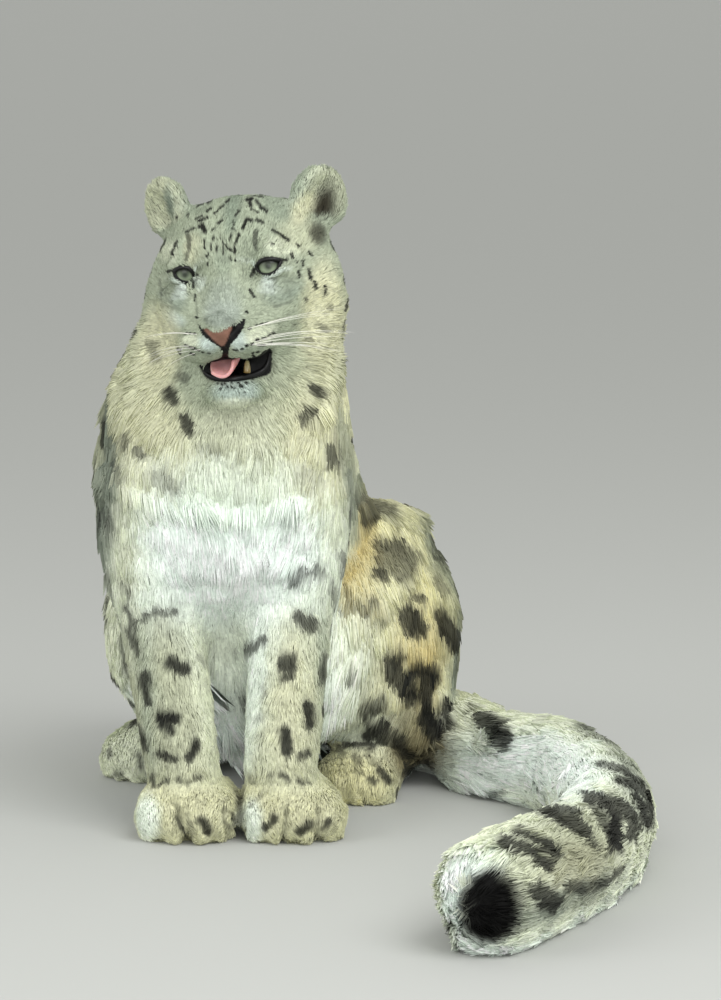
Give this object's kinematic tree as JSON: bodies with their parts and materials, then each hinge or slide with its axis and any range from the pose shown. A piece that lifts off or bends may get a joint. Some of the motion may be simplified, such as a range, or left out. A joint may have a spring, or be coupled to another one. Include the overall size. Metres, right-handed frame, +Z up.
{
  "type": "snow leopard",
  "caption": "Life-size still model of a sitting snow leopard, head turned a little to its right, mouth slightly open, tail curled round its left side to the front.",
  "frame": {"origin": "middle of the flat under the rump on which the animal sits, on the floor", "axes": "+Z up, -Y the way the chest faces, +X the animal's own left side"},
  "size_m": [0.6229, 1.0375, 0.724],
  "materials": {
    "coat_cream": "long soft fur, pale cream with dark spots",
    "coat_white": "long soft white fur",
    "coat_grey": "long soft smoky grey fur with dark rosettes",
    "coat_tan": "soft tan fur with dark rosettes",
    "eye": "glossy glass eye, pale grey-green iris",
    "tongue": "moist pink, slightly rough",
    "tooth": "glossy, yellowed enamel"
  },
  "bodies": {
    "root": {"head": "coat_cream", "lower_jaw": "coat_white", "ear_right": "coat_grey", "ear_left": "coat_grey", "eye_right": "eye", "eye_left": "eye", "tongue": "tongue", "canine": "tooth", "neck": "coat_cream", "chest": "coat_white", "shoulder_right": "coat_grey", "shoulder_left": "coat_grey", "foreleg_right": "coat_cream", "foreleg_left": "coat_cream", "forepaw_right": "coat_white", "forepaw_left": "coat_white", "back": "coat_grey", "belly": "coat_white", "rump": "coat_tan", "thigh_right": "coat_tan", "thigh_left": "coat_tan", "shin_right": "coat_cream", "shin_left": "coat_cream", "hindpaw_right": "coat_white", "hindpaw_left": "coat_white", "tail_root": "coat_cream", "tail_middle": "coat_white", "tail_outer": "coat_white", "tail_tip": "coat_white"}
  },
  "joints": []
}
